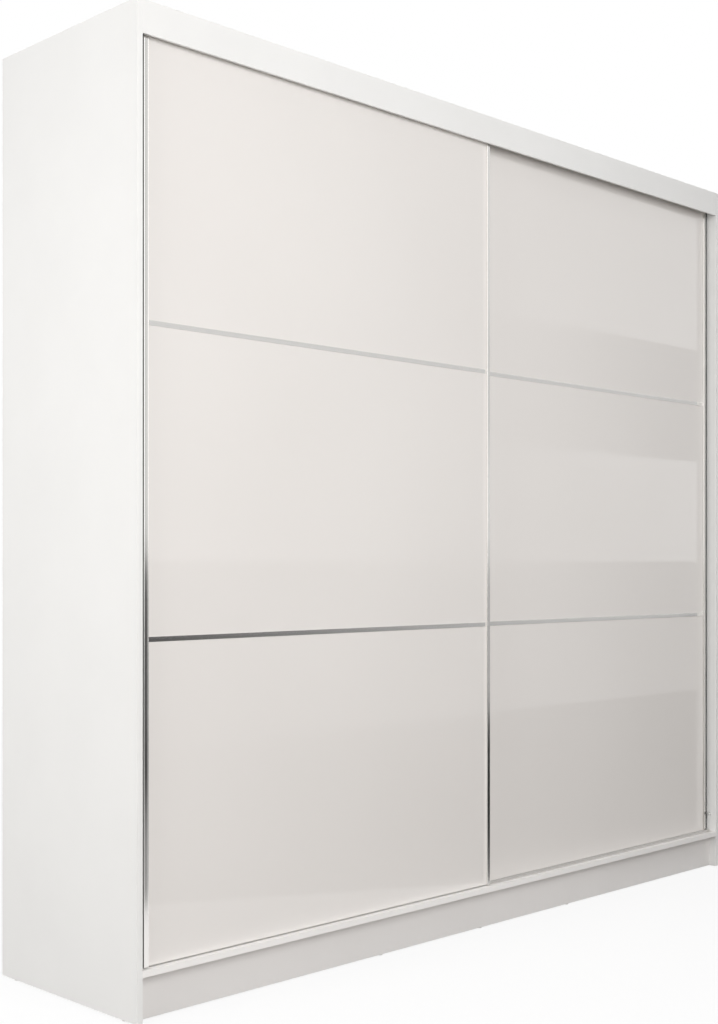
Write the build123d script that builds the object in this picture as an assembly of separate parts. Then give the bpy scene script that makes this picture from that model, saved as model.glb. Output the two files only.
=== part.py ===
from build123d import *
import os

# Two-door sliding wardrobe. Millimetres, +Z up, front towards -Y.
# The origin is on the floor, under the middle of the carcass.

# Carcass
WIDTH = 2500.0
DEPTH = 600.0
HEIGHT = 2400.0
BOARD = 16.0
FASCIA_HEIGHT = 80.0
FASCIA_BOARD = 8.0
BASE_HEIGHT = 110.0
PLINTH_SETBACK = 28.0
REAR_PLINTH_INSET = 40.0
BACK_SHEET = 3.0
BACK_RECESS = 12.0
BACK_GROOVE = 7.0
GROOVE_PLAY = 0.2
BACK_JOINT_GAP = 1.0

# Floor glides
GLIDE_HEIGHT = 3.0
GLIDE_RADIUS = 6.0
GLIDE_INSET = 60.0

# Compartments
PARTITION_SETBACK = 64.0
COLUMN_WIDTH = 400.0
HAT_SHELF_DROP = 420.0
SHELF_SETBACK = 12.0
SHELVES_PER_COLUMN = 5
SHELF_PLAY = 0.5
PIN_RADIUS = 2.5
PIN_LENGTH = 16.0
PIN_SEAT = 6.5
PIN_INSET = 50.0

# Hanging rails
RAIL_HEIGHT = 30.0
RAIL_WIDTH = 15.0
RAIL_WALL = 1.2
RAIL_DROP = 55.0
SOCKET_PLATE = 2.0
SOCKET_WALL = 2.0
SOCKET_REACH = 12.0
SOCKET_PLAY = 0.2
SOCKET_FLANGE = 6.0

# Cam fittings
CAM_RADIUS = 7.5
CAM_DEPTH = 12.5
CAM_REACH = 34.0
CAM_INSET = 70.0
CAM_SLOT_WIDTH = 1.6
CAM_SLOT_DEPTH = 2.0
DOWEL_RADIUS = 3.5
DOWEL_THREAD_RADIUS = 2.5
DOWEL_THREAD_LENGTH = 11.0

# Wall brackets
BRACKET_WIDTH = 40.0
BRACKET_LEG = 45.0
BRACKET_SHEET = 2.0
BRACKET_HOLE_RADIUS = 2.75
BRACKET_SPACING = 1660.0

# Doors
DOOR_BOARD = 10.0
GLASS = 4.0
GLASS_PLAY = 0.3
PROFILE_RECESS = 11.2
DOOR_PITCH = 23.0
DOOR_OVERLAP = 40.0
SIDE_GAP = 12.0
DOOR_LAP = 22.0
STRIP_LOW = 900.0
STRIP_HIGH = 1648.0

# Upright door profiles
PROFILE_FACE = 14.0
PROFILE_WALL = 2.0
PROFILE_BACK = 1.2
PROFILE_LIP = 5.0
CHAMBER_WALL = 1.2
OUTER_ROUND = 2.0
RIDGE_FACE = 3.0
RIDGE_RISE = 0.8

# Dividing strips
STRIP_FACE = 12.0
STRIP_EDGE = 1.0
STRIP_CROWN = 0.2
STRIP_STEM = 2.0

# Bottom track
TRACK_BASE = 1.5
TRACK_MARGIN = 10.0
TRACK_BEAD_WIDTH = 3.6
TRACK_BEAD_HEIGHT = 5.0
TRACK_END_PLAY = 0.5

# Door bottom rail
RUNNING_GAP = 1.0
FOOT_WALL = 1.2
FOOT_CHANNEL = 7.5
FOOT_BACK_LIP = 13.0

# Wheels and carriages
WHEEL_RADIUS = 13.0
WHEEL_ROLL_RADIUS = 10.5
WHEEL_WIDTH = 6.0
WHEEL_PLAY = 0.2
GROOVE_SIDE_PLAY = 0.3
HUB_RELIEF = 0.8
HUB_RADIUS = 5.5
AXLE_RADIUS = 3.0
AXLE_PLAY = 0.05
AXLE_END_INSET = 0.2
CARRIAGE_LENGTH = 90.0
CARRIAGE_HEIGHT = 34.0
CARRIAGE_INSET = 120.0
CARRIAGE_CHEEK = 1.5
CARRIAGE_PLAY = 0.2
CARRIAGE_ROOM = 2.0
CARRIAGE_CORNER = 6.0
ADJUSTER_RADIUS = 2.5

# Top guides and top track
GUIDE_BLADE = 5.0
GUIDE_LENGTH = 60.0
GUIDE_SEAT = 30.0
GUIDE_INSET = 150.0
GUIDE_CORNER = 8.0
GUIDE_TIP_PLAY = 6.0
GUIDE_SHOULDER_PLAY = 1.5
GUIDE_SIDE_PLAY = 0.7
TOP_TRACK_LEG = 1.8
TOP_TRACK_PLATE = 2.0
TOP_TRACK_DEPTH = 30.0

# Stops and seals
STOP_RADIUS = 4.0
STOP_PLAY = 0.5
STOP_ABOVE_TRACK = 60.0
SEAL_INSET = 0.5
SEAL_WIDTH = 5.0
SEAL_PLAY = 0.5

# Levels and planes that follow from the sizes above
half_width = WIDTH / 2
inner_x = half_width - BOARD
front_y = -DEPTH / 2
rear_y = DEPTH / 2
back_y = rear_y - BACK_RECESS - BACK_SHEET
partition_y = front_y + PARTITION_SETBACK
shelf_y = partition_y + SHELF_SETBACK
top_z = HEIGHT - BOARD
floor_z = BASE_HEIGHT + BOARD
fascia_z = HEIGHT - FASCIA_HEIGHT
hat_top_z = top_z - HAT_SHELF_DROP
hat_z = hat_top_z - BOARD
rail_z = hat_z - RAIL_DROP

# Partitions, as the x of each middle plane
column_x = COLUMN_WIDTH + BOARD
PARTITIONS = {"left_partition": -column_x, "centre_partition": 0.0, "right_partition": column_x}

# Doors: board middle planes, levels and width
front_door_y = front_y + PROFILE_RECESS + PROFILE_LIP + RIDGE_RISE + GLASS + DOOR_BOARD / 2
rear_door_y = front_door_y + DOOR_PITCH
door_width = inner_x - SIDE_GAP + DOOR_OVERLAP / 2
track_top_z = floor_z + TRACK_BASE
bead_top_z = track_top_z + TRACK_BEAD_HEIGHT
door_bottom_z = track_top_z + RUNNING_GAP
glass_bottom_z = door_bottom_z + FOOT_WALL
board_bottom_z = door_bottom_z + FOOT_CHANNEL
door_top_z = fascia_z + DOOR_LAP
wheel_z = bead_top_z + WHEEL_PLAY + WHEEL_ROLL_RADIUS
half_board = DOOR_BOARD / 2
glass_v = half_board + GLASS
lip_v = glass_v + PROFILE_LIP
seal_v = lip_v - OUTER_ROUND - SEAL_INSET


def block(x0, x1, y0, y1, z0, z1):
    """Box between two corners."""
    centre = Pos((x0 + x1) / 2, (y0 + y1) / 2, (z0 + z1) / 2)
    return centre * Box(x1 - x0, y1 - y0, z1 - z0)


def bar_x(face, x0, x1):
    """Bar along X from a (y, z) section."""
    return extrude(Plane.YZ.offset(x0) * face, x1 - x0)


def bar_z(face, z0, z1):
    """Bar along Z from an (x, y) section."""
    return extrude(Plane.XY.offset(z0) * face, z1 - z0)


def rod_x(radius, x0, x1, y, z):
    """Round rod along X."""
    return Pos((x0 + x1) / 2, y, z) * Rot(0, 90, 0) * Cylinder(radius, x1 - x0)


def rod_y(radius, x, y0, y1, z):
    """Round rod along Y."""
    return Pos(x, (y0 + y1) / 2, z) * Rot(90, 0, 0) * Cylinder(radius, y1 - y0)


def rod_z(radius, x, y, z0, z1):
    """Round rod along Z."""
    return Pos(x, y, (z0 + z1) / 2) * Cylinder(radius, z1 - z0)


def save(node, *solids):
    """Write one node, as one solid or a group of separate solids."""
    shape = solids[0] if len(solids) == 1 else Compound(children=list(solids))
    export_step(shape, os.path.join("parts", node + ".step"))


def cam_places():
    """Each cam fitting as (side, y, panel middle z, direction to the open face of the panel)."""
    places = []
    for side in (-1, 1):
        for y in (front_y + CAM_INSET, back_y - CAM_INSET):
            places.append((side, y, top_z + BOARD / 2, 1))
            places.append((side, y, BASE_HEIGHT + BOARD / 2, -1))
    return places


def cam_body(side, y, middle_z, facing, radius):
    """Round body of a cam, sunk into the panel from its open face."""
    x = side * (inner_x - CAM_REACH)
    open_z = middle_z + facing * BOARD / 2
    inner_z = open_z - facing * CAM_DEPTH
    return rod_z(radius, x, y, min(open_z, inner_z), max(open_z, inner_z))


def dowel(side, y, middle_z):
    """Screw-in dowel that reaches from a side panel into a cam."""
    thread_end = side * (inner_x + DOWEL_THREAD_LENGTH)
    face = side * inner_x
    head = side * (inner_x - CAM_REACH)
    thread = rod_x(DOWEL_THREAD_RADIUS, min(thread_end, face), max(thread_end, face), y, middle_z)
    shank = rod_x(DOWEL_RADIUS, min(head, face), max(head, face), y, middle_z)
    return thread + shank


def bracket_x():
    """Middle planes of the two wall brackets."""
    return (-BRACKET_SPACING / 2, BRACKET_SPACING / 2)


def bracket_hole(x, y0, y1):
    """Screw hole of a wall bracket."""
    return rod_y(BRACKET_HOLE_RADIUS, x, y0, y1, top_z - BRACKET_LEG / 2)


def shelf_levels():
    """Undersides of the shelves in a column, evenly spaced between floor and top."""
    pitch = (top_z - floor_z - SHELVES_PER_COLUMN * BOARD) / (SHELVES_PER_COLUMN + 1)
    return [floor_z + pitch + i * (pitch + BOARD) for i in range(SHELVES_PER_COLUMN)]


def column_pins(side):
    """Shelf pins of one column, half in the partitions and half under the shelves."""
    pins = []
    near = side * BOARD / 2
    far = side * (column_x - BOARD / 2)
    for level in shelf_levels():
        z = level - PIN_RADIUS
        for y in (shelf_y + PIN_INSET, back_y - PIN_INSET):
            for wall, inward in ((near, side), (far, -side)):
                ends = (wall - inward * PIN_SEAT, wall + inward * (PIN_LENGTH - PIN_SEAT))
                pins.append(rod_x(PIN_RADIUS, min(ends), max(ends), y, z))
    return pins


def make_side_panels():
    """Full-height sides, grooved for the back sheets and bored for the dowels."""
    for node, side in (("left_side_panel", -1), ("right_side_panel", 1)):
        xs = sorted((side * inner_x, side * half_width))
        panel = block(*xs, front_y, rear_y, GLIDE_HEIGHT, HEIGHT)
        groove_x = sorted((side * inner_x, side * (inner_x + BACK_GROOVE)))
        groove_y = (back_y - GROOVE_PLAY, back_y + BACK_SHEET + GROOVE_PLAY)
        panel -= block(*groove_x, *groove_y, BASE_HEIGHT, HEIGHT)
        for cam_side, y, middle_z, _ in cam_places():
            if cam_side == side:
                panel -= dowel(cam_side, y, middle_z)
        save(node, panel)


def make_top_and_bottom():
    """Top and bottom panels with cam bores, the fascia and the plinths."""
    top = block(-inner_x, inner_x, front_y + FASCIA_BOARD, back_y, top_z, HEIGHT)
    bottom = block(-inner_x, inner_x, front_y, back_y, BASE_HEIGHT, floor_z)
    for side, y, middle_z, facing in cam_places():
        bore = cam_body(side, y, middle_z, facing, CAM_RADIUS) + dowel(side, y, middle_z)
        if facing > 0:
            top -= bore
        else:
            bottom -= bore
    save("top_panel", top)
    save("bottom_panel", bottom)
    save("top_fascia", block(-inner_x, inner_x, front_y, front_y + FASCIA_BOARD, fascia_z, HEIGHT))
    plinth_y = front_y + PLINTH_SETBACK
    rear_plinth_y = rear_y - REAR_PLINTH_INSET - BOARD
    for node, y in (("front_plinth", plinth_y), ("rear_plinth", rear_plinth_y)):
        save(node, block(-inner_x, inner_x, y, y + BOARD, GLIDE_HEIGHT, BASE_HEIGHT))
    supports = []
    for x in PARTITIONS.values():
        support_y = (plinth_y + BOARD, rear_plinth_y)
        supports.append(block(x - BOARD / 2, x + BOARD / 2, *support_y, GLIDE_HEIGHT, BASE_HEIGHT))
    save("base_supports", *supports)


def make_partitions():
    """Upright partitions, bored for the shelf pins."""
    pins = column_pins(-1) + column_pins(1)
    for node, x in PARTITIONS.items():
        panel = block(x - BOARD / 2, x + BOARD / 2, partition_y, back_y, floor_z, top_z)
        reach = BOARD / 2 + PIN_LENGTH
        for pin in pins:
            if abs(pin.center().X - x) < reach:
                panel -= pin
        save(node, panel)


def make_back_sheets():
    """Two thin back sheets, in the grooves of the sides and meeting behind the centre partition."""
    for node, side in (("back_panel_left", -1), ("back_panel_right", 1)):
        xs = sorted((side * BACK_JOINT_GAP / 2, side * (inner_x + BACK_GROOVE - GROOVE_PLAY)))
        sheet = block(*xs, back_y, back_y + BACK_SHEET, BASE_HEIGHT, HEIGHT)
        for x in bracket_x():
            if x * side > 0:
                sheet -= bracket_hole(x, back_y - BACK_SHEET, back_y + 2 * BACK_SHEET)
        save(node, sheet)


def make_shelves():
    """Fixed hat shelves over the hanging bays, adjustable shelves on pins in the columns."""
    for name, side in (("left", -1), ("right", 1)):
        xs = sorted((side * (column_x + BOARD / 2), side * inner_x))
        save(name + "_hat_shelf", block(*xs, shelf_y, back_y, hat_z, hat_top_z))
        xs = sorted((side * (BOARD / 2 + SHELF_PLAY), side * (column_x - BOARD / 2 - SHELF_PLAY)))
        shelves = [block(*xs, shelf_y, back_y - SHELF_PLAY, z, z + BOARD) for z in shelf_levels()]
        save(name + "_shelves", *shelves)
    save("shelf_pins", *column_pins(-1), *column_pins(1))


def rail_section(grow):
    """Upright oval, grown evenly from the outside of the hanging rail."""
    return Rot(0, 0, 90) * SlotOverall(RAIL_HEIGHT + 2 * grow, RAIL_WIDTH + 2 * grow)


def rail_place(face):
    """Put an oval section on the line of the hanging rails."""
    return Pos((shelf_y + back_y) / 2, rail_z) * face


def make_hanging_rails():
    """Oval tubes between open-topped sockets on the walls of the hanging bays."""
    sockets = []
    for name, side in (("left", -1), ("right", 1)):
        near, far = sorted((side * (column_x + BOARD / 2), side * inner_x))
        tube = rail_place(rail_section(0) - rail_section(-RAIL_WALL))
        save(name + "_hanging_rail", bar_x(tube, near + SOCKET_PLATE, far - SOCKET_PLATE))
        inner = SOCKET_PLAY
        outer = SOCKET_PLAY + SOCKET_WALL
        plate = rail_place(rail_section(outer + SOCKET_FLANGE))
        open_top = Pos(0, RAIL_HEIGHT) * Rectangle(RAIL_WIDTH + 2 * inner, 2 * RAIL_HEIGHT)
        cup = rail_place(rail_section(outer) - rail_section(inner) - open_top)
        for wall, inward in ((near, 1), (far, -1)):
            plate_x = sorted((wall, wall + inward * SOCKET_PLATE))
            cup_x = sorted((wall + inward * SOCKET_PLATE, wall + inward * SOCKET_REACH))
            sockets.append(bar_x(plate, *plate_x) + bar_x(cup, *cup_x))
    save("rail_sockets", *sockets)


def make_fasteners():
    """Cam locks, their dowels, wall brackets and floor glides."""
    cams = []
    dowels = []
    for side, y, middle_z, facing in cam_places():
        cam = cam_body(side, y, middle_z, facing, CAM_RADIUS) - dowel(side, y, middle_z)
        open_z = middle_z + facing * BOARD / 2
        slot_z = sorted((open_z, open_z - facing * CAM_SLOT_DEPTH))
        x = side * (inner_x - CAM_REACH)
        reach = CAM_RADIUS / 2
        slot = CAM_SLOT_WIDTH / 2
        cam -= block(x - reach, x + reach, y - slot, y + slot, *slot_z)
        cam -= block(x - slot, x + slot, y - reach, y + reach, *slot_z)
        cams.append(cam)
        dowels.append(dowel(side, y, middle_z))
    save("cam_locks", *cams)
    save("cam_dowels", *dowels)

    brackets = []
    for x in bracket_x():
        xs = (x - BRACKET_WIDTH / 2, x + BRACKET_WIDTH / 2)
        upright = block(*xs, back_y - BRACKET_SHEET, back_y, top_z - BRACKET_LEG, top_z)
        level = block(*xs, back_y - BRACKET_LEG, back_y, top_z - BRACKET_SHEET, top_z)
        hole = bracket_hole(x, back_y - 2 * BRACKET_SHEET, back_y + BRACKET_SHEET)
        brackets.append(upright + level - hole)
    save("wall_brackets", *brackets)

    glides = []
    side_x = inner_x + BOARD / 2
    plinth_y = front_y + PLINTH_SETBACK + BOARD / 2
    rear_plinth_y = rear_y - REAR_PLINTH_INSET - BOARD / 2
    places = [(x, y) for x in (-side_x, side_x) for y in (front_y + GLIDE_INSET, rear_y - GLIDE_INSET)]
    places += [(x, y) for x in PARTITIONS.values() for y in (plinth_y, rear_plinth_y)]
    for x, y in places:
        glides.append(rod_z(GLIDE_RADIUS, x, y, 0, GLIDE_HEIGHT))
    save("floor_glides", *glides)


def make_tracks():
    """Beaded bottom track and double-channel top track, each one extrusion for both doors."""
    door_planes = (front_door_y, rear_door_y)
    x0 = -inner_x + TRACK_END_PLAY
    x1 = inner_x - TRACK_END_PLAY
    bead_radius = TRACK_BEAD_WIDTH / 2
    width = DOOR_PITCH + 2 * TRACK_MARGIN
    section = Pos((front_door_y + rear_door_y) / 2, floor_z + TRACK_BASE / 2) * Rectangle(width, TRACK_BASE)
    for y in door_planes:
        stem = TRACK_BEAD_HEIGHT - bead_radius
        section += Pos(y, track_top_z + stem / 2) * Rectangle(TRACK_BEAD_WIDTH, stem)
        section += Pos(y, track_top_z + stem) * Circle(bead_radius)
    save("bottom_track", bar_x(section, x0, x1))

    slot = GUIDE_BLADE / 2 + GUIDE_SIDE_PLAY
    leg_reach = slot + TOP_TRACK_LEG
    plate_y = (front_door_y - leg_reach, rear_door_y + leg_reach)
    track = block(x0, x1, *plate_y, top_z - TOP_TRACK_PLATE, top_z)
    for y in door_planes:
        for inner, outer in ((-slot, -leg_reach), (slot, leg_reach)):
            leg_y = sorted((y + inner, y + outer))
            track += block(x0, x1, *leg_y, top_z - TOP_TRACK_DEPTH, top_z - TOP_TRACK_PLATE)
    save("top_track", track)


def make_door_stops():
    """Chamfered rubber stops on the sides, two for each door, behind the line of the brush seals."""
    height = SIDE_GAP - STOP_PLAY
    ahead = seal_v - SEAL_WIDTH - STOP_PLAY - STOP_RADIUS
    stops = []
    for side in (-1, 1):
        for y in (front_door_y, rear_door_y):
            ends = (side * inner_x, side * (inner_x - height))
            stop = rod_x(STOP_RADIUS, min(ends), max(ends), y - ahead, track_top_z + STOP_ABOVE_TRACK)
            tip = stop.edges().sort_by(Axis.X)[0 if side > 0 else -1]
            stops.append(chamfer(tip, STOP_RADIUS / 2))
    save("door_stops", *stops)


def profile_section(side):
    """Upright profile: a C round the door's edge, whose hollow front lip has a round and a ridge.

    The first coordinate runs from the door's outer edge inwards, the second from the board's
    middle plane towards the back. side is 1 for a left edge and -1 for a right edge.
    """
    lip = -lip_v
    back = half_board + PROFILE_BACK
    ridge = PROFILE_FACE - RIDGE_FACE
    ridge_top = (ridge + RIDGE_FACE / 2, lip - RIDGE_RISE)
    edges = [
        Line((0, back), (0, lip + OUTER_ROUND)),
        CenterArc((OUTER_ROUND, lip + OUTER_ROUND), OUTER_ROUND, 180, 90),
        Line((OUTER_ROUND, lip), (ridge, lip)),
        ThreePointArc((ridge, lip), ridge_top, (PROFILE_FACE, lip)),
        Polyline(
            (PROFILE_FACE, lip),
            (PROFILE_FACE, -glass_v),
            (PROFILE_WALL, -glass_v),
            (PROFILE_WALL, half_board),
            (PROFILE_FACE, half_board),
            (PROFILE_FACE, back),
            (0, back),
        ),
    ]
    face = make_face([edge for piece in edges for edge in piece.edges()])
    chamber = Rectangle(PROFILE_FACE - 2 * CHAMBER_WALL, PROFILE_LIP - 2 * CHAMBER_WALL)
    face -= Pos(PROFILE_FACE / 2, -(glass_v + lip_v) / 2) * chamber
    return face if side > 0 else mirror(face, Plane.YZ)


def strip_section():
    """Dividing strip: a crowned face over the panes and a stem between them, in (y, z)."""
    front = -glass_v
    face = front - STRIP_EDGE
    half = STRIP_FACE / 2
    stem = STRIP_STEM / 2
    edges = [
        ThreePointArc((face, -half), (face - STRIP_CROWN, 0), (face, half)),
        Polyline(
            (face, half),
            (front, half),
            (front, stem),
            (-half_board, stem),
            (-half_board, -stem),
            (front, -stem),
            (front, -half),
            (face, -half),
        ),
    ]
    return make_face([edge for piece in edges for edge in piece.edges()])


def foot_section():
    """Door bottom rail: a channel over the wheels, a foot under the glass, a lip behind the board."""
    low = door_bottom_z
    web = board_bottom_z - FOOT_WALL
    inside = half_board - FOOT_WALL
    lip = half_board + FOOT_WALL
    points = (
        (-glass_v, low),
        (-inside, low),
        (-inside, web),
        (inside, web),
        (inside, low),
        (half_board, low),
        (half_board, web),
        (lip, web),
        (lip, board_bottom_z + FOOT_BACK_LIP),
        (half_board, board_bottom_z + FOOT_BACK_LIP),
        (half_board, board_bottom_z),
        (-half_board, board_bottom_z),
        (-half_board, glass_bottom_z),
        (-glass_v, glass_bottom_z),
    )
    return make_face(Polyline(*points, close=True).edges())


def wheel(x, y):
    """Grooved nylon wheel, turned about Y, with raised hub faces and a running bore."""
    half = WHEEL_WIDTH / 2
    groove = TRACK_BEAD_WIDTH / 2 + GROOVE_SIDE_PLAY
    bore = AXLE_RADIUS + AXLE_PLAY
    web = half - HUB_RELIEF
    points = (
        (bore, -half),
        (HUB_RADIUS, -half),
        (HUB_RADIUS, -web),
        (WHEEL_ROLL_RADIUS - HUB_RELIEF, -web),
        (WHEEL_ROLL_RADIUS - HUB_RELIEF, -half),
        (WHEEL_RADIUS, -half),
        (WHEEL_RADIUS, -groove),
        (WHEEL_ROLL_RADIUS, -groove),
    )
    mirrored = [(r, -v) for r, v in reversed(points)]
    outline = Polyline(*points, *mirrored, close=True)
    return Pos(x, y, wheel_z) * revolve(make_face(outline.edges()), Axis.Y)


def carriage(x, y):
    """Carriage that fills a pocket of the board: two cheeks round the wheel, with a height screw bore."""
    half = CARRIAGE_LENGTH / 2 - CARRIAGE_PLAY
    top = board_bottom_z + CARRIAGE_HEIGHT - CARRIAGE_PLAY
    body = block(x - half, x + half, y - half_board, y + half_board, board_bottom_z, top)
    body = fillet(body.edges().filter_by(Axis.Y).group_by(Axis.Z)[-1], CARRIAGE_CORNER)
    room = WHEEL_RADIUS + CARRIAGE_ROOM
    gap = half_board - CARRIAGE_CHEEK
    body -= block(x - room, x + room, y - gap, y + gap, board_bottom_z, wheel_z + room)
    body -= rod_y(AXLE_RADIUS, x, y - half_board, y + half_board, wheel_z)
    for side in (-1, 1):
        screw_x = x + side * (room + half) / 2
        body -= rod_z(ADJUSTER_RADIUS, screw_x, y, board_bottom_z, board_bottom_z + CARRIAGE_HEIGHT / 2)
    return body


def guide(x, y):
    """Nylon guide: a blade seated in the top of the board, with a shoulder and a rounded tip."""
    half = GUIDE_LENGTH / 2
    blade_y = (y - GUIDE_BLADE / 2, y + GUIDE_BLADE / 2)
    tip_z = top_z - TOP_TRACK_PLATE - GUIDE_TIP_PLAY
    blade = block(x - half, x + half, *blade_y, door_top_z - GUIDE_SEAT, tip_z)
    blade = fillet(blade.edges().filter_by(Axis.Y).group_by(Axis.Z)[-1], GUIDE_CORNER)
    shoulder_z = top_z - TOP_TRACK_DEPTH - GUIDE_SHOULDER_PLAY
    shoulder = block(x - half, x + half, y - half_board, y + half_board, door_top_z, shoulder_z)
    return blade + shoulder


def make_door(door, x0, y, closing_side):
    """One door and its sliding gear. closing_side is -1 where it closes to the left, 1 to the right."""
    x1 = x0 + door_width
    lips = (x0 + PROFILE_FACE, x1 - PROFILE_FACE)
    carriage_xs = (x0 + CARRIAGE_INSET, x1 - CARRIAGE_INSET)
    guide_xs = (x0 + GUIDE_INSET, x1 - GUIDE_INSET)
    guides = [guide(x, y) for x in guide_xs]

    board_y = (y - half_board, y + half_board)
    pocket_z = (board_bottom_z, board_bottom_z + CARRIAGE_HEIGHT)
    board = block(x0 + PROFILE_WALL, x1 - PROFILE_WALL, *board_y, board_bottom_z, door_top_z)
    for x in carriage_xs:
        board -= block(x - CARRIAGE_LENGTH / 2, x + CARRIAGE_LENGTH / 2, *board_y, *pocket_z)
    for piece in guides:
        board -= piece
    save(door + "_board", board)

    pane_x = (x0 + PROFILE_WALL + GLASS_PLAY, x1 - PROFILE_WALL - GLASS_PLAY)
    seam = STRIP_STEM / 2 + GLASS_PLAY
    pane_levels = {
        "lower": (glass_bottom_z, STRIP_LOW - seam),
        "middle": (STRIP_LOW + seam, STRIP_HIGH - seam),
        "upper": (STRIP_HIGH + seam, door_top_z),
    }
    for name, levels in pane_levels.items():
        save(door + "_glass_" + name, block(*pane_x, y - glass_v, y - half_board, *levels))

    inside = half_board - FOOT_WALL
    channel = block(x0, x1, y - inside, y + inside, door_bottom_z, board_bottom_z - FOOT_WALL)
    for name, x, side in (("left", x0, 1), ("right", x1, -1)):
        section = Pos(x, y) * profile_section(side)
        save(door + "_profile_" + name, bar_z(section, door_bottom_z, door_top_z) - channel)

    for name, z in (("lower", STRIP_LOW), ("upper", STRIP_HIGH)):
        strip = bar_x(Pos(y, z) * strip_section(), lips[0] + GLASS_PLAY, lips[1] - GLASS_PLAY)
        save(door + "_strip_" + name, strip)

    rail = bar_x(Pos(y, 0) * foot_section(), *lips)
    room = WHEEL_RADIUS + CARRIAGE_ROOM
    for x in carriage_xs:
        rail -= block(x - room, x + room, y - inside, y + inside, board_bottom_z - FOOT_WALL, board_bottom_z)
    save(door + "_bottom_rail", rail)

    save(door + "_carriages", *[carriage(x, y) for x in carriage_xs])
    axle_ends = (y - half_board + AXLE_END_INSET, y + half_board - AXLE_END_INSET)
    save(door + "_wheel_axles", *[rod_y(AXLE_RADIUS, x, *axle_ends, wheel_z) for x in carriage_xs])
    save(door + "_wheel_left", wheel(carriage_xs[0], y))
    save(door + "_wheel_right", wheel(carriage_xs[1], y))
    save(door + "_top_guides", *guides)

    edge_x = x0 if closing_side < 0 else x1
    seal_x = sorted((edge_x, edge_x + closing_side * (SIDE_GAP - SEAL_PLAY)))
    seal_y = (y - seal_v, y - seal_v + SEAL_WIDTH)
    save(door + "_brush_seals", block(*seal_x, *seal_y, door_bottom_z, door_top_z))


os.makedirs("parts", exist_ok=True)
make_side_panels()
make_top_and_bottom()
make_partitions()
make_back_sheets()
make_shelves()
make_hanging_rails()
make_fasteners()
make_tracks()
make_door_stops()
make_door("left_door", -inner_x + SIDE_GAP, front_door_y, -1)
make_door("right_door", inner_x - SIDE_GAP - door_width, rear_door_y, 1)
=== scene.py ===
import math

import bmesh
import bpy
from mathutils import Matrix, Vector


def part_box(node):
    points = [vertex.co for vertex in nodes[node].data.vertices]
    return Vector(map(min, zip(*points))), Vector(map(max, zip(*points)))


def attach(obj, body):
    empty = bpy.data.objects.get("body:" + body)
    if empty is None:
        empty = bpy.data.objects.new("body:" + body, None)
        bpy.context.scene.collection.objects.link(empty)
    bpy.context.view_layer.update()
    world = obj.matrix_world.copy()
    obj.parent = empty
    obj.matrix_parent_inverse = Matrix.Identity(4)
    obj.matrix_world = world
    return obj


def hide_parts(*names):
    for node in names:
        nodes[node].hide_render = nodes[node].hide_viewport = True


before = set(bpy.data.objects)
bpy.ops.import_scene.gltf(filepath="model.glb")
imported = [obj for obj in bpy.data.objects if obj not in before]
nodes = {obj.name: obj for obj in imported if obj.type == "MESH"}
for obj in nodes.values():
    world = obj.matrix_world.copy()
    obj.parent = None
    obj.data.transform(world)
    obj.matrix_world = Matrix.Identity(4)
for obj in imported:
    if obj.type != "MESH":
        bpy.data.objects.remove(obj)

# Two-door sliding wardrobe. Metres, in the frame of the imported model: +Z up, front towards -Y.

# Camera, fitted to the edges of the carcass in the photograph
IMAGE_WIDTH = 718
IMAGE_HEIGHT = 1024
FOCAL_PIXELS = 1445.9
VIEW_CENTRE_PIXEL = (406.3, 564.9)
SENSOR_MM = 36.0
CAMERA_PLACE = (-3.229, -3.096, 1.076)
CAMERA_YAW = math.radians(-45.84)

# Square soft lights, and the tone of the card that the front one is mirrored as
LIGHTS = {
    "front_light": {"place": (-1.6, -3.9, 2.3), "aim": (-0.5, 0.0, 1.0), "size": 3.4, "power": 117.0},
    "side_light": {"place": (-4.8, -0.4, 1.9), "aim": (-1.2, -0.1, 1.0), "size": 2.0, "power": 85.0},
    "rear_light": {"place": (4.0, 3.6, 3.0), "aim": (0.6, 0.3, 1.2), "size": 2.5, "power": 110.0},
    "top_light": {"place": (0.0, 1.6, 4.6), "aim": (0.0, 0.2, 2.4), "size": 2.0, "power": 35.0},
}
FRONT_SHINE = 1.9
AMBIENT = 0.45

# Floor: half its side, its tone for the light that it throws back, its tone where it is seen, its own
# glow near the wardrobe, and the distances between which that glow rises to white
FLOOR_HALF = 15.0
FLOOR_TONE = (0.22, 0.205, 0.19, 1.0)
FLOOR_SEEN_TONE = (0.9, 0.9, 0.9, 1.0)
FLOOR_GLOW = 0.85
FLOOR_FADE = (3.0, 7.0)

# Glowing cards that only glossy rays meet, painted reflections: a level one with a cut corner, and upright
# ones round it
CARD_X = (-1.5, 7.6)
CARD_BACK_Y = -4.2
CARD_NEAR_Y = -0.35
CARD_NEAR_X = 0.9
CARD_CUT_Y = -1.7
CARD_FLOOR_Z = 0.02
LEVEL_CARD_RAMP_X = (-0.3, 1.3)
LOW_CARD_HEIGHT = 1.1
LOW_CARD_RAMP_X = (0.3, 5.8)
END_CARD_RAMP_Z = (0.55, 1.65)
TALL_CARD_X = (0.6, 12.0)
TALL_CARD_Y = -4.6
TALL_CARD_HEIGHT = 5.5
TALL_CARD_RAMP_X = (1.5, 8.0)
BRIGHT_CARD_X = (4.9, 7.95)
BRIGHT_CARD_Y = -4.59
BRIGHT_CARD_LEVELS = {"card_middle": (0.95, 2.0), "card_upper": (3.0, 5.5)}

# Glow of the cards, painted reflections from dark to bright, where 1 is white
DARK_TONE = 0.03
DIM_TONE = 0.35
MIDDLE_TONE = 0.55
PALE_TONE = 0.58
PALEST_TONE = 0.74
BRIGHT_TONES = (0.8, 1.5)

# Eased edges of boards and panes
WELD = 1e-5
ARRIS = {"white_board": 0.0008, "door_board": 0.0008, "painted_glass": 0.0005}
ARRIS_SEGMENTS = 2

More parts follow.
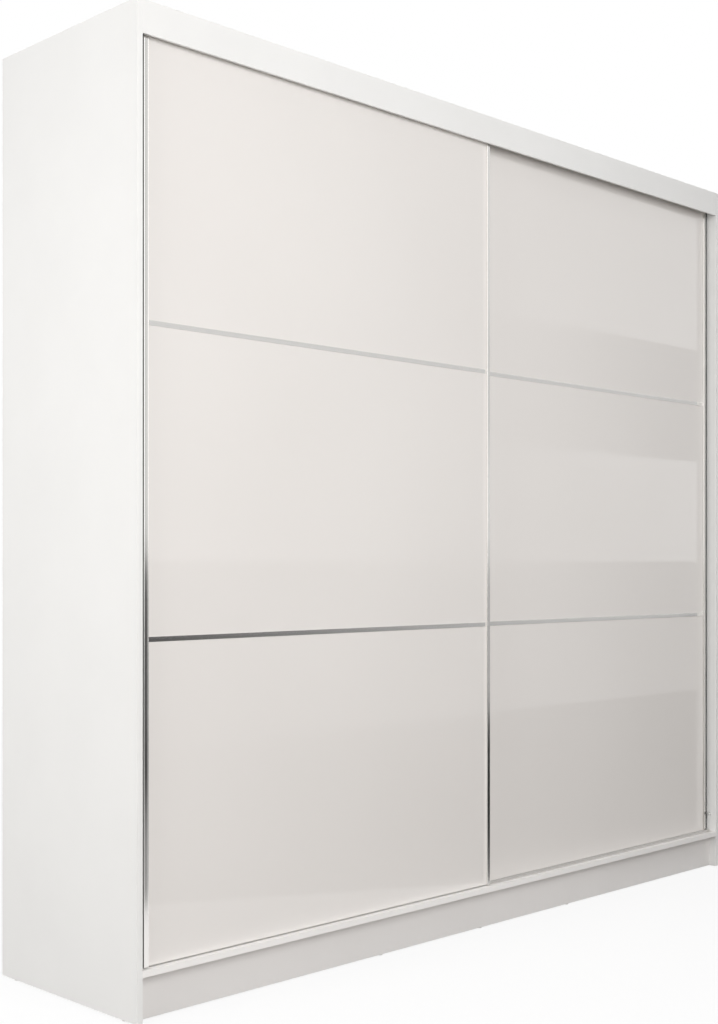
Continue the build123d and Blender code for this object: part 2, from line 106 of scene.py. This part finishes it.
# Screws, with the parts of a head as shares of its radius or height
LARGE_SCREW = 0.0036
SMALL_SCREW = 0.0026
RAISED_HEAD = 0.001
SUNK_HEAD = 0.0003
SCREW_ARM_SHARE = 0.58
SCREW_SLOT_SHARE = 0.14
SCREW_CROWN_SHARE = 0.8
SCREW_RIM_SHARE = 0.5
SCREW_FLOOR_SHARE = 0.25

# Flanges and plates that take the screws, and the places of the screws along them
SOCKET_FLANGE = 0.006
BRACKET_SHEET = 0.002
TOP_TRACK_PLATE = 0.002
BOTTOM_TRACK_PLATE = 0.0015
TRACK_SCREW_PITCH = 0.4
TRACK_SCREW_EDGE = 0.06
PROFILE_SCREW_END = 0.025

# Nails and spare bores, which are turned parts; a spare bore is a thin disc of painted shade. The nail's
# outline is in radii of the nail.
TURNED_SIDES = 10
NAIL_RADIUS = 0.0017
NAIL_OUTLINE = ((0.0, 0.0), (1.0, 0.0), (1.0, 0.25), (0.5, 0.5), (0.0, 0.6))
NAIL_PITCH = 0.15
NAIL_FROM_JOINT = 0.004
NAIL_FROM_CORNER = 0.024
HOLE_RADIUS = 0.0025
HOLE_PITCH = 0.032
HOLES_BESIDE_PIN = 2
HOLE_SKIN = 0.0001

# Pile of the brush seals: shares of the seal's reach, of its depth and of a tuft. The tufts lean up and
# down by a sine, with a step in radians from each tuft to the next.
TAPE_SHARE = 0.25
TUFT_ROOT_IN_TAPE = 0.8
TUFT_REACH_SHARE = 0.98
TUFT_ROW_SHARE = 0.25
TUFT_DEPTH_SHARE = 1 / 6
TUFT_PITCH = 0.003
TUFT_WIDTH = 0.0028
TUFT_TIP_SHARE = 0.8
TUFT_LEAN_SHARE = 0.25
TUFT_LEAN_STEP = 1.7

# Fine lines on extruded metal, as waves per metre, run along X or along Z
ALONG_X = (4.0, 1600.0, 1600.0)
ALONG_Z = (1600.0, 1600.0, 4.0)

# Spread of the noise that counts as 0 to 1, and how squarely a face has to look along an axis
NOISE_SPAN = (0.3, 0.7)
FACING_LIMIT = 0.9

# Whites of the boards, and tints of drawn metal as shares of its tone
BOARD_WHITE = (0.865, 0.86, 0.845)
# The bottom panel is the same white board lightened, as painted light on its front edge.
BOTTOM_PAINTED_LIGHT_WHITE = (0.935, 0.913, 0.893)
# The plinth is the same white board darkened, as painted shade under the bottom panel's overhang.
PLINTH_PAINTED_SHADE_WHITE = (0.80, 0.776, 0.758)
BACKING_WHITE = (0.80, 0.80, 0.79)
METAL_PALE = (1.0, 0.98, 0.955)
METAL_DEEP = (0.93, 0.91, 0.885)

# How far roughness strays, as a share on drawn metal and as a number on moulded parts
METAL_ROUGHNESS_SHARE = 0.3
MOULDED_ROUGHNESS_SPREAD = 0.06

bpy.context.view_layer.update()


class Finish:
    """A material under construction: a Principled shader and the nodes that feed it."""

    def __init__(self, name, sockets):
        self.material = bpy.data.materials.new(name)
        self.material.use_nodes = True
        self.tree = self.material.node_tree
        self.shader = self.tree.nodes["Principled BSDF"]
        for socket, value in sockets.items():
            self.shader.inputs[socket].default_value = value
        self.coordinates = self.tree.nodes.new("ShaderNodeTexCoord")

    def feed(self, socket, value):
        """Set a socket to a value, or link it to another node's output."""
        if isinstance(value, bpy.types.NodeSocket):
            self.tree.links.new(value, socket)
        else:
            socket.default_value = value

    def node(self, kind, inputs, **settings):
        """A new node, with its settings and its inputs."""
        node = self.tree.nodes.new("ShaderNode" + kind)
        for name, value in settings.items():
            setattr(node, name, value)
        for socket, value in inputs.items():
            self.feed(node.inputs[socket], value)
        return node

    def place(self, waves):
        """The piece's own coordinates, scaled to waves per metre along X, Y and Z."""
        inputs = {"Vector": self.coordinates.outputs["Object"], "Scale": waves}
        return self.node("Mapping", inputs).outputs["Vector"]

    def noise(self, waves, detail=2.0):
        """Smooth noise from about 0 to 1."""
        inputs = {"Vector": self.place(waves), "Scale": 1.0, "Detail": detail}
        noise = self.node("TexNoise", inputs).outputs["Fac"]
        spread = {"Value": noise, "From Min": NOISE_SPAN[0], "From Max": NOISE_SPAN[1]}
        return self.node("MapRange", spread).outputs["Result"]

    def flakes(self, waves):
        """One random tone from 0 to 1 for each cell of a broken pattern."""
        inputs = {"Vector": self.place(waves), "Scale": 1.0}
        colour = self.node("TexVoronoi", inputs).outputs["Color"]
        return self.node("SeparateColor", {"Color": colour}).outputs["Red"]

    def facing(self, axis):
        """1 on faces that look along an axis of the piece, such as +Y, and 0 elsewhere."""
        split = self.node("SeparateXYZ", {"Vector": self.coordinates.outputs["Normal"]})
        along = self.node("Math", {0: split.outputs[axis[1]], 1: float(axis[0] + "1")}, operation="MULTIPLY")
        mask = {0: along.outputs["Value"], 1: FACING_LIMIT}
        return self.node("Math", mask, operation="GREATER_THAN").outputs["Value"]

    def between(self, factor, low, high):
        """A number between two, by a factor."""
        return self.node("MapRange", {"Value": factor, "To Min": low, "To Max": high}).outputs["Result"]

    def mix(self, factor, low, high):
        """A colour between two, by a factor. Sockets 6 and 7 are the colours, output 2 is the mix."""
        return self.node("Mix", {0: factor, 6: low, 7: high}, data_type="RGBA").outputs[2]

    def colour(self, value):
        """Set or link the colour of the surface."""
        self.feed(self.shader.inputs["Base Color"], value)

    def rough(self, value):
        """Set or link the roughness of the surface."""
        self.feed(self.shader.inputs["Roughness"], value)

    def bump(self, height, depth):
        """Raise the surface by a height from 0 to 1, at most depth metres."""
        normal = self.node("Bump", {"Height": height, "Distance": depth}).outputs["Normal"]
        self.feed(self.shader.inputs["Normal"], normal)

    def glow(self, strength):
        """White light of a given strength, as a shader of its own."""
        return self.node("Emission", {"Strength": strength}).outputs["Emission"]

    def show(self, shader):
        """Show a shader in place of the Principled one."""
        self.feed(self.tree.nodes["Material Output"].inputs["Surface"], shader)


def rgb(red, green, blue):
    """An opaque colour."""
    return (red, green, blue, 1.0)


def even(waves):
    """The same number of waves per metre along each axis."""
    return (waves, waves, waves)


def melamine(name, white, cloud=0.02):
    """Satin melamine: a faint darker cloud in the colour and a fine pearl texture. Returns the finish."""
    finish = Finish(name, {"IOR": 1.5})
    clouded = [tone - cloud for tone in white]
    finish.colour(finish.mix(finish.noise(even(5.0), detail=3.0), low=rgb(*clouded), high=rgb(*white)))
    finish.rough(finish.between(finish.noise(even(60.0)), low=0.36, high=0.48))
    finish.bump(finish.noise(even(800.0)), depth=0.00003)
    return finish


def banded_board():
    """Melamine board whose rear and lower edges show the chipboard core."""
    finish = melamine("white_side_board", BOARD_WHITE)
    face = finish.shader.inputs["Base Color"].links[0].from_socket
    core = finish.mix(finish.flakes(even(420.0)), low=rgb(0.30, 0.20, 0.11), high=rgb(0.62, 0.47, 0.30))
    cut = finish.node("Math", {0: finish.facing("+Y"), 1: finish.facing("-Z")}, operation="MAXIMUM")
    finish.colour(finish.mix(cut.outputs["Value"], low=face, high=core))
    return finish.material


def back_sheet():
    """Thin fibreboard, lacquered white inside and raw, with a screen imprint, behind."""
    finish = Finish("fibreboard_sheet", {"IOR": 1.45})
    lacquer = finish.mix(finish.noise(even(6.0)), low=rgb(0.80, 0.80, 0.79), high=rgb(0.84, 0.84, 0.83))
    strands = finish.noise((90.0, 90.0, 260.0), detail=4.0)
    fibre = finish.mix(strands, low=rgb(0.24, 0.14, 0.075), high=rgb(0.38, 0.25, 0.15))
    behind = finish.facing("+Y")
    finish.colour(finish.mix(behind, low=lacquer, high=fibre))
    finish.rough(finish.between(behind, low=0.42, high=0.85))
    screen = {"Vector": finish.place(even(500.0)), "Scale": 1.0}
    imprint = finish.node("TexWave", screen, bands_direction="DIAGONAL")
    finish.bump(imprint.outputs["Fac"], depth=0.00004)
    return finish.material


def painted_glass():
    """Clear glass over warm white paint, with the green of the glass on the cut edges."""
    finish = Finish("painted_glass", {"IOR": 1.52})
    coat = finish.noise(even(1.5), detail=1.0)
    paint = finish.mix(coat, low=rgb(0.805, 0.773, 0.745), high=rgb(0.825, 0.793, 0.765))
    cut = finish.mix(finish.noise(even(200.0)), low=rgb(0.30, 0.44, 0.38), high=rgb(0.42, 0.56, 0.50))
    finish.colour(finish.mix(finish.facing("-Y"), low=cut, high=paint))
    finish.rough(finish.between(finish.noise(even(12.0)), low=0.008, high=0.02))
    finish.bump(finish.noise(even(3.0), detail=0.0), depth=0.0001)
    return finish.material


def drawn_metal(name, tone, waves, roughness, depth):
    """Metal with a warm tinge and fine lines along the way it was drawn or rolled."""
    finish = Finish(name, {"Metallic": 1.0})
    lines = finish.noise(waves, detail=3.0)
    pale = rgb(*(tone * share for share in METAL_PALE))
    deep = rgb(*(tone * share for share in METAL_DEEP))
    finish.colour(finish.mix(lines, low=deep, high=pale))
    spread = roughness * METAL_ROUGHNESS_SHARE
    finish.rough(finish.between(lines, low=roughness - spread, high=roughness + spread))
    finish.bump(lines, depth)
    return finish.material


def galvanised_steel():
    """Zinc-coated steel with a pale spangle."""
    finish = Finish("galvanised_steel", {"Metallic": 1.0})
    spangle = finish.flakes(even(260.0))
    finish.colour(finish.mix(spangle, low=rgb(0.50, 0.51, 0.52), high=rgb(0.66, 0.67, 0.68)))
    finish.rough(finish.between(spangle, low=0.28, high=0.46))
    finish.bump(finish.noise(even(900.0)), depth=0.00001)
    return finish.material


def cast_zinc():
    """Dull die-cast zinc."""
    finish = Finish("cast_zinc", {"Metallic": 1.0})
    grain = finish.noise(even(700.0), detail=4.0)
    finish.colour(finish.mix(grain, low=rgb(0.36, 0.36, 0.37), high=rgb(0.50, 0.50, 0.51)))
    finish.rough(finish.between(grain, low=0.42, high=0.60))
    finish.bump(grain, depth=0.00003)
    return finish.material


def moulded(name, pale, deep, roughness):
    """Moulded plastic or rubber with a fine spark-eroded texture."""
    finish = Finish(name, {"IOR": 1.5})
    grain = finish.noise(even(1500.0), detail=3.0)
    finish.colour(finish.mix(finish.noise(even(40.0)), low=deep, high=pale))
    spread = MOULDED_ROUGHNESS_SPREAD
    finish.rough(finish.between(grain, low=roughness - spread, high=roughness + spread))
    finish.bump(grain, depth=0.00002)
    return finish.material


def pile():
    """Soft dark pile with hardly any shine."""
    finish = Finish("brush_pile", {"Specular IOR Level": 0.1, "Roughness": 0.95})
    fibres = finish.noise(even(900.0))
    finish.colour(finish.mix(fibres, low=rgb(0.012, 0.012, 0.012), high=rgb(0.04, 0.04, 0.04)))
    return finish.material


def painted_bore_shade():
    """Chipboard flecks at the bottom of a small bore, darkened as painted shade."""
    finish = Finish("bore_chip_flecks_painted_shade", {"Roughness": 0.9})
    chips = finish.flakes(even(900.0))
    finish.colour(finish.mix(chips, low=rgb(0.035, 0.025, 0.018), high=rgb(0.10, 0.07, 0.045)))
    return finish.material


screw_metal = drawn_metal("bright_zinc", tone=0.68, waves=even(900.0), roughness=0.3, depth=0.00001)
SLOT_FINISHES = {
    "white_board": melamine("white_melamine", BOARD_WHITE).material,
    "back_sheet": back_sheet(),
    "door_board": melamine("door_backing", BACKING_WHITE, cloud=0.03).material,
    "painted_glass": painted_glass(),
    "polished_aluminium": drawn_metal("polished_profile", 0.90, ALONG_Z, roughness=0.14, depth=0.000004),
    "track_aluminium": drawn_metal("satin_aluminium", 0.80, ALONG_X, roughness=0.42, depth=0.00001),
    "steel": galvanised_steel(),
    "zinc": cast_zinc(),
    "chrome_tube": drawn_metal("chrome_tube", 0.80, ALONG_X, roughness=0.09, depth=0.000003),
    "nylon": moulded("pale_nylon", rgb(0.74, 0.73, 0.70), rgb(0.68, 0.67, 0.64), roughness=0.42),
    "rubber": moulded("pale_rubber", rgb(0.74, 0.74, 0.72), rgb(0.68, 0.68, 0.66), roughness=0.60),
    "brush_pile": pile(),
}

# Materials of the nodes that differ from the rest of their slot, by a part of their name
NAMED_FINISHES = {
    "side_panel": banded_board(),
    # Painted shade: the plinth's white is the board white darkened.
    "plinth": melamine("plinth_board_painted_shade", PLINTH_PAINTED_SHADE_WHITE).material,
    # Painted light: the bottom panel's white is the board white lightened.
    "bottom_panel": melamine("bottom_board_painted_light", BOTTOM_PAINTED_LIGHT_WHITE).material,
    "_strip_": drawn_metal("polished_strip", 0.90, ALONG_X, roughness=0.12, depth=0.000004),
}


def dress_nodes():
    """Give each CAD node its material, and a small arris to the boards and panes."""
    for name, node in nodes.items():
        slot = node.material_slots[0].material.name
        finish = SLOT_FINISHES[slot]
        for part, named_finish in NAMED_FINISHES.items():
            if part in name:
                finish = named_finish
        node.material_slots[0].material = finish
        if slot in ARRIS:
            add_arris(node, ARRIS[slot])


def add_arris(piece, width):
    """Ease the sharp edges of a piece."""
    weld = piece.modifiers.new("weld", "WELD")
    weld.merge_threshold = WELD
    bevel = piece.modifiers.new("arris", "BEVEL")
    bevel.width = width
    bevel.segments = ARRIS_SEGMENTS
    bevel.limit_method = "ANGLE"
    bevel.harden_normals = True


def middle(node):
    """The middle of a CAD node's box."""
    low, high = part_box(node)
    return (low + high) / 2


def solids(node):
    """The box of each separate solid in a CAD node, as its lowest and highest corner."""
    builder = bmesh.new()
    builder.from_mesh(nodes[node].data)
    bmesh.ops.remove_doubles(builder, verts=builder.verts, dist=WELD)
    boxes = []
    waiting = set(builder.verts)
    while waiting:
        reached = [waiting.pop()]
        island = []
        while reached:
            vertex = reached.pop()
            island.append(vertex.co.copy())
            for edge in vertex.link_edges:
                other = edge.other_vert(vertex)
                if other in waiting:
                    waiting.remove(other)
                    reached.append(other)
        lowest = Vector([min(values) for values in zip(*island)])
        highest = Vector([max(values) for values in zip(*island)])
        boxes.append((lowest, highest))
    builder.free()
    return sorted(boxes, key=lambda box: tuple(round(value, 4) for value in box[0]))


def new_object(name, builder, material):
    """Turn a finished bmesh into an object in the scene."""
    mesh = bpy.data.meshes.new(name)
    builder.to_mesh(mesh)
    builder.free()
    mesh.materials.append(material)
    item = bpy.data.objects.new(name, mesh)
    bpy.context.scene.collection.objects.link(item)
    return item


def new_piece(name, builder, material, body):
    """Turn a finished bmesh into a piece that moves with a body."""
    bmesh.ops.recalc_face_normals(builder, faces=builder.faces)
    piece = new_object(name, builder, material)
    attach(piece, body)
    return piece


def seat(centre, axis):
    """Matrix that puts a small part made along +Z on a surface that faces along axis."""
    turn = Vector(axis).to_track_quat("Z", "Y").to_matrix().to_4x4()
    return Matrix.Translation(centre) @ turn


def add_turned(builder, outline, place):
    """A closed turned part from (radius, height) points that start and end on its axis."""
    rings = []
    for radius, height in outline:
        steps = TURNED_SIDES if radius > 0 else 1
        ring = []
        for step in range(steps):
            angle = 2 * math.pi * step / TURNED_SIDES
            point = Vector((radius * math.cos(angle), radius * math.sin(angle), height))
            ring.append(builder.verts.new(place @ point))
        rings.append(ring)
    for low, high in zip(rings, rings[1:]):
        for step in range(TURNED_SIDES):
            following = (step + 1) % TURNED_SIDES
            corners = [low[step % len(low)], low[following % len(low)]]
            corners += [high[following % len(high)], high[step % len(high)]]
            builder.faces.new(list(dict.fromkeys(corners)))


def add_screw(builder, place, radius, height):
    """A low cross-head screw head with its recess."""
    arm = SCREW_ARM_SHARE * radius
    slot = SCREW_SLOT_SHARE * radius
    quarter = ((arm, -slot), (arm, slot), (slot, slot))
    recess = []
    for turn in range(4):
        spin = Matrix.Rotation(turn * math.pi / 2, 2)
        recess += [spin @ Vector(point) for point in quarter]

    def ring(points, level):
        return [builder.verts.new(place @ Vector((point.x, point.y, level))) for point in points]

    rim = [point.normalized() * radius for point in recess]
    crown = [point * SCREW_CROWN_SHARE for point in rim]
    rings = [ring(rim, 0.0), ring(rim, SCREW_RIM_SHARE * height), ring(crown, height)]
    rings += [ring(recess, height), ring(recess, SCREW_FLOOR_SHARE * height)]
    for low, high in zip(rings, rings[1:]):
        for step in range(len(recess)):
            following = (step + 1) % len(recess)
            builder.faces.new((low[step], low[following], high[following], high[step]))
    builder.faces.new(rings[0])
    builder.faces.new(rings[-1])


def steps_between(start, end, pitch):
    """Evenly spaced places from start to end, about a pitch apart."""
    count = max(1, round((end - start) / pitch))
    return [start + (end - start) * index / count for index in range(count + 1)]


def make_socket_screws():
    """Two screws through the plate of each rail socket, over and under the rail."""
    builder = bmesh.new()
    rail_ends = []
    for rail in ("left_hanging_rail", "right_hanging_rail"):
        low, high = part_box(rail)
        rail_ends += [(low.x, 1), (high.x, -1)]
    for low, high in solids("rail_sockets"):
        y = (low.y + high.y) / 2
        face, inward = next(end for end in rail_ends if low.x < end[0] < high.x)
        for z in (low.z + SOCKET_FLANGE / 2, high.z - SOCKET_FLANGE / 2):
            add_screw(builder, seat((face, y, z), (inward, 0, 0)), SMALL_SCREW, RAISED_HEAD)
    new_piece("rail_socket_screws", builder, screw_metal, "carcass")


def make_bracket_screws():
    """Two screws up through the level leg of each wall bracket."""
    builder = bmesh.new()
    for low, high in solids("wall_brackets"):
        quarter = (high.x - low.x) / 4
        for x in (low.x + quarter, high.x - quarter):
            under = (x, (low.y + high.y) / 2, high.z - BRACKET_SHEET)
            add_screw(builder, seat(under, (0, 0, -1)), LARGE_SCREW, RAISED_HEAD)
    new_piece("bracket_screws", builder, screw_metal, "carcass")


def make_track_screws():
    """Screws along the middle of both tracks, on the side of the plate that faces the doors."""
    plates = {
        "bottom_track": (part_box("bottom_track")[0].z + BOTTOM_TRACK_PLATE, 1),
        "top_track": (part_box("top_track")[1].z - TOP_TRACK_PLATE, -1),
    }
    for track, (level, facing) in plates.items():
        builder = bmesh.new()
        low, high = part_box(track)
        for x in steps_between(low.x + TRACK_SCREW_EDGE, high.x - TRACK_SCREW_EDGE, TRACK_SCREW_PITCH):
            place = seat((x, middle(track).y, level), (0, 0, facing))
            add_screw(builder, place, LARGE_SCREW, SUNK_HEAD)
        new_piece(track + "_screws", builder, screw_metal, "carcass")


def make_profile_screws(door):
    """Two screws through the outer wall of each upright profile of a door."""
    builder = bmesh.new()
    y = middle(door + "_board").y
    for profile, facing in (("_profile_left", -1), ("_profile_right", 1)):
        low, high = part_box(door + profile)
        face = low.x if facing < 0 else high.x
        for z in (low.z + PROFILE_SCREW_END, high.z - PROFILE_SCREW_END):
            add_screw(builder, seat((face, y, z), (facing, 0, 0)), SMALL_SCREW, SUNK_HEAD)
    new_piece(door + "_profile_screws", builder, screw_metal, door)


def make_back_nails():
    """Nails through the back sheets into the edges of the boards before them."""
    builder = bmesh.new()
    outline = [(radius * NAIL_RADIUS, height * NAIL_RADIUS) for radius, height in NAIL_OUTLINE]
    joints = {
        "left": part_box("back_panel_left")[1].x - NAIL_FROM_JOINT,
        "right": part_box("back_panel_right")[0].x + NAIL_FROM_JOINT,
    }
    for side, joint_x in joints.items():
        low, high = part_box("back_panel_" + side)
        row = steps_between(low.x + NAIL_FROM_CORNER, high.x - NAIL_FROM_CORNER, NAIL_PITCH)
        places = [(x, middle(board).z) for board in ("top_panel", "bottom_panel") for x in row]
        column = steps_between(low.z + NAIL_PITCH, high.z - NAIL_PITCH, NAIL_PITCH)
        places += [(x, z) for x in (joint_x, middle(side + "_partition").x) for z in column]
        for x, z in places:
            add_turned(builder, outline, seat((x, high.y, z), (0, 1, 0)))
    new_piece("back_nails", builder, screw_metal, "carcass")


def make_pin_holes():
    """Spare bores over and under each shelf pin, in the walls of the shelf columns, drawn as thin discs of
    painted shade.
    """
    builder = bmesh.new()
    outline = [(0, 0), (HOLE_RADIUS, 0), (HOLE_RADIUS, HOLE_SKIN), (0, HOLE_SKIN)]
    walls = []
    for partition in ("left_partition", "centre_partition", "right_partition"):
        low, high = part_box(partition)
        walls += [(low.x, -1), (high.x, 1)]
    for low, high in solids("shelf_pins"):
        pin = (low + high) / 2
        wall, facing = next(face for face in walls if low.x < face[0] < high.x)
        for step in range(1, HOLES_BESIDE_PIN + 1):
            for z in (pin.z - step * HOLE_PITCH, pin.z + step * HOLE_PITCH):
                add_turned(builder, outline, seat((wall, pin.y, z), (facing, 0, 0)))
    new_piece("spare_pin_holes", builder, painted_bore_shade(), "carcass")


def add_tuft(builder, root, reach, along, across, lean):
    """One tapered tuft of pile from its root."""
    tip = root + reach + lean
    base = [root + along + across, root - along + across, root - along - across, root + along - across]
    ends = [tip + along * TUFT_TIP_SHARE, tip - along * TUFT_TIP_SHARE]
    base = [builder.verts.new(point) for point in base]
    ends = [builder.verts.new(point) for point in ends]
    builder.faces.new(base)
    builder.faces.new((base[0], base[1], ends[1], ends[0]))
    builder.faces.new((base[2], base[3], ends[0], ends[1]))
    builder.faces.new((base[1], base[2], ends[1]))
    builder.faces.new((base[3], base[0], ends[0]))


def add_block(builder, low, high):
    """A closed box between two corners."""
    place = Matrix.Translation((low + high) / 2) @ Matrix.Diagonal((*(high - low), 1.0))
    bmesh.ops.create_cube(builder, size=1.0, matrix=place)


def make_pile(door):
    """Brush seal of a door: a woven tape with two rows of leaning tufts."""
    builder = bmesh.new()
    seal = door + "_brush_seals"
    low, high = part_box(seal)
    outward = 1 if low.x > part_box(door + "_board")[1].x else -1
    reach = Vector((outward * (high.x - low.x), 0, 0))
    across = Vector((0, high.y - low.y, 0))
    root = Vector((low.x if outward > 0 else high.x, (low.y + high.y) / 2, low.z))
    tape = reach * TAPE_SHARE
    corners = (root - across / 2, root + across / 2 + tape + Vector((0, 0, high.z - low.z)))
    add_block(builder, Vector(map(min, *corners)), Vector(map(max, *corners)))
    along = Vector((0, 0, TUFT_WIDTH / 2))
    length = reach * (TUFT_REACH_SHARE - TUFT_ROOT_IN_TAPE * TAPE_SHARE)
    for row in (-1, 1):
        row_root = root + tape * TUFT_ROOT_IN_TAPE + across * row * TUFT_ROW_SHARE
        start = low.z + TUFT_PITCH * (1 + row * TUFT_ROW_SHARE)
        for index, z in enumerate(steps_between(start, high.z - TUFT_PITCH, TUFT_PITCH)):
            place = row_root + Vector((0, 0, z - low.z))
            lean = Vector((0, 0, TUFT_WIDTH * TUFT_LEAN_SHARE * math.sin(index * TUFT_LEAN_STEP + row)))
            add_tuft(builder, place, length, along, across * TUFT_DEPTH_SHARE, lean)
    brush = new_piece(door + "_pile", builder, SLOT_FINISHES["brush_pile"], door)
    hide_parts(seal)


def light_path_share(tree):
    """1 for rays that show the stage to the camera, straight, mirrored or through glass."""
    path = tree.nodes.new("ShaderNodeLightPath")
    total = path.outputs["Is Camera Ray"]
    for ray in ("Is Glossy Ray", "Is Transmission Ray"):
        larger = tree.nodes.new("ShaderNodeMath")
        larger.operation = "MAXIMUM"
        tree.links.new(total, larger.inputs[0])
        tree.links.new(path.outputs[ray], larger.inputs[1])
        total = larger.outputs["Value"]
    return total


def make_floor():
    """Pale floor that keeps the shadow and fades to white away from the wardrobe."""
    finish = Finish("studio_floor", {"Roughness": 0.9})
    seen = light_path_share(finish.tree)
    finish.colour(finish.mix(seen, low=FLOOR_TONE, high=FLOOR_SEEN_TONE))
    distance = finish.node("VectorMath", {0: finish.coordinates.outputs["Object"]}, operation="LENGTH")
    fade = {"Value": distance.outputs["Value"], "From Min": FLOOR_FADE[0], "From Max": FLOOR_FADE[1]}
    fade.update({"To Min": FLOOR_GLOW, "To Max": 1.0})
    white = finish.node("MapRange", fade, interpolation_type="SMOOTHSTEP").outputs["Result"]
    share = finish.node("Math", {0: white, 1: seen}, operation="MULTIPLY").outputs["Value"]
    shaders = {0: share, 1: finish.shader.outputs["BSDF"], 2: finish.glow(1.0)}
    finish.show(finish.node("MixShader", shaders).outputs["Shader"])
    builder = bmesh.new()
    bmesh.ops.create_grid(builder, x_segments=2, y_segments=2, size=FLOOR_HALF)
    new_object("floor", builder, finish.material)


def make_card(name, corners, axis, span, tones):
    """A flat glowing card that only glossy rays meet, a painted reflection, with a tone that runs along one
    axis.
    """
    finish = Finish(name, {"Roughness": 1.0})
    along = finish.node("SeparateXYZ", {"Vector": finish.coordinates.outputs["Object"]}).outputs[axis]
    ramp = {"Value": along, "From Min": span[0], "From Max": span[1], "To Min": tones[0], "To Max": tones[1]}
    tone = finish.node("MapRange", ramp, interpolation_type="SMOOTHSTEP").outputs["Result"]
    finish.show(finish.glow(tone))
    builder = bmesh.new()
    builder.faces.new([builder.verts.new(corner) for corner in corners])
    card = new_object(name, builder, finish.material)
    card.visible_camera = False
    card.visible_diffuse = False
    card.visible_shadow = False


def upright(start, end, low, high):
    """Corners of an upright card over the line between two floor places."""
    return [(*start, low), (*end, low), (*end, high), (*start, high)]


def make_cards():
    """Painted reflections before the doors: glowing cards for a low dark corner, pale tall sheets and two
    bright panels.
    """
    left, right = CARD_X
    back_left = (left, CARD_BACK_Y)
    back_right = (right, CARD_BACK_Y)
    near_right = (right, CARD_NEAR_Y)
    edge = (back_left, back_right, near_right, (CARD_NEAR_X, CARD_NEAR_Y), (left, CARD_CUT_Y))
    level = [(*place, CARD_FLOOR_Z) for place in edge]
    make_card("card_level", level, "X", LEVEL_CARD_RAMP_X, (DIM_TONE, DARK_TONE))
    low = upright(back_left, back_right, CARD_FLOOR_Z, LOW_CARD_HEIGHT)
    make_card("card_low", low, "X", LOW_CARD_RAMP_X, (DARK_TONE, MIDDLE_TONE))
    end = upright(back_right, near_right, CARD_FLOOR_Z, TALL_CARD_HEIGHT)
    make_card("card_end", end, "Z", END_CARD_RAMP_Z, (DARK_TONE, PALE_TONE))
    tall_ends = [(x, TALL_CARD_Y) for x in TALL_CARD_X]
    tall = upright(*tall_ends, CARD_FLOOR_Z, TALL_CARD_HEIGHT)
    make_card("card_tall", tall, "X", TALL_CARD_RAMP_X, (PALEST_TONE, PALE_TONE))
    bright_ends = [(x, BRIGHT_CARD_Y) for x in BRIGHT_CARD_X]
    for name, levels in BRIGHT_CARD_LEVELS.items():
        make_card(name, upright(*bright_ends, *levels), "X", BRIGHT_CARD_X, BRIGHT_TONES)


def make_world():
    """Soft even light from all round, white where the camera sees it."""
    world = bpy.data.worlds.new("studio")
    world.use_nodes = True
    tree = world.node_tree
    strength = tree.nodes.new("ShaderNodeMapRange")
    strength.inputs["To Min"].default_value = AMBIENT
    strength.inputs["To Max"].default_value = 1.0
    tree.links.new(light_path_share(tree), strength.inputs["Value"])
    background = tree.nodes["Background"]
    background.inputs["Color"].default_value = rgb(1.0, 1.0, 1.0)
    tree.links.new(strength.outputs["Result"], background.inputs["Strength"])
    bpy.context.scene.world = world


def make_soft_light(name, place, aim, size, power):
    """Large square soft light."""
    light = bpy.data.lights.new(name, "AREA")
    light.shape = "SQUARE"
    light.size = size
    light.energy = power
    lamp = bpy.data.objects.new(name, light)
    lamp.location = place
    lamp.rotation_euler = (Vector(aim) - Vector(place)).to_track_quat("-Z", "Y").to_euler()
    bpy.context.scene.collection.objects.link(lamp)
    return lamp


def soften_shine(lamp, tone):
    """Let glossy surfaces mirror a card of a gentle tone in the place of a square lamp."""
    lamp.visible_glossy = False
    place = Matrix.LocRotScale(lamp.location, lamp.rotation_euler, None)
    half = lamp.data.size / 2
    square = ((-half, -half), (half, -half), (half, half), (-half, half))
    corners = [place @ Vector((*corner, 0)) for corner in square]
    make_card(lamp.name + "_card", corners, "X", (-half, half), (tone, tone))


def make_camera():
    """Level camera whose view centre lies off the middle of the picture.

    The picture's longer side, its height, spans the sensor's width, and shifts are shares of it.
    """
    lens = bpy.data.cameras.new("camera")
    lens.sensor_width = SENSOR_MM
    lens.lens = FOCAL_PIXELS * SENSOR_MM / IMAGE_HEIGHT
    lens.shift_x = (IMAGE_WIDTH / 2 - VIEW_CENTRE_PIXEL[0]) / IMAGE_HEIGHT
    lens.shift_y = (VIEW_CENTRE_PIXEL[1] - IMAGE_HEIGHT / 2) / IMAGE_HEIGHT
    camera = bpy.data.objects.new("camera", lens)
    camera.location = CAMERA_PLACE
    camera.rotation_euler = (math.pi / 2, 0, CAMERA_YAW)
    bpy.context.scene.collection.objects.link(camera)
    bpy.context.scene.camera = camera


dress_nodes()
make_socket_screws()
make_bracket_screws()
make_track_screws()
make_back_nails()
make_pin_holes()
for door_name in ("left_door", "right_door"):
    make_profile_screws(door_name)
    make_pile(door_name)
make_floor()
make_cards()
make_world()
lamps = {name: make_soft_light(name, **light) for name, light in LIGHTS.items()}
soften_shine(lamps["front_light"], FRONT_SHINE)
make_camera()
bpy.context.scene.view_settings.view_transform = "Standard"
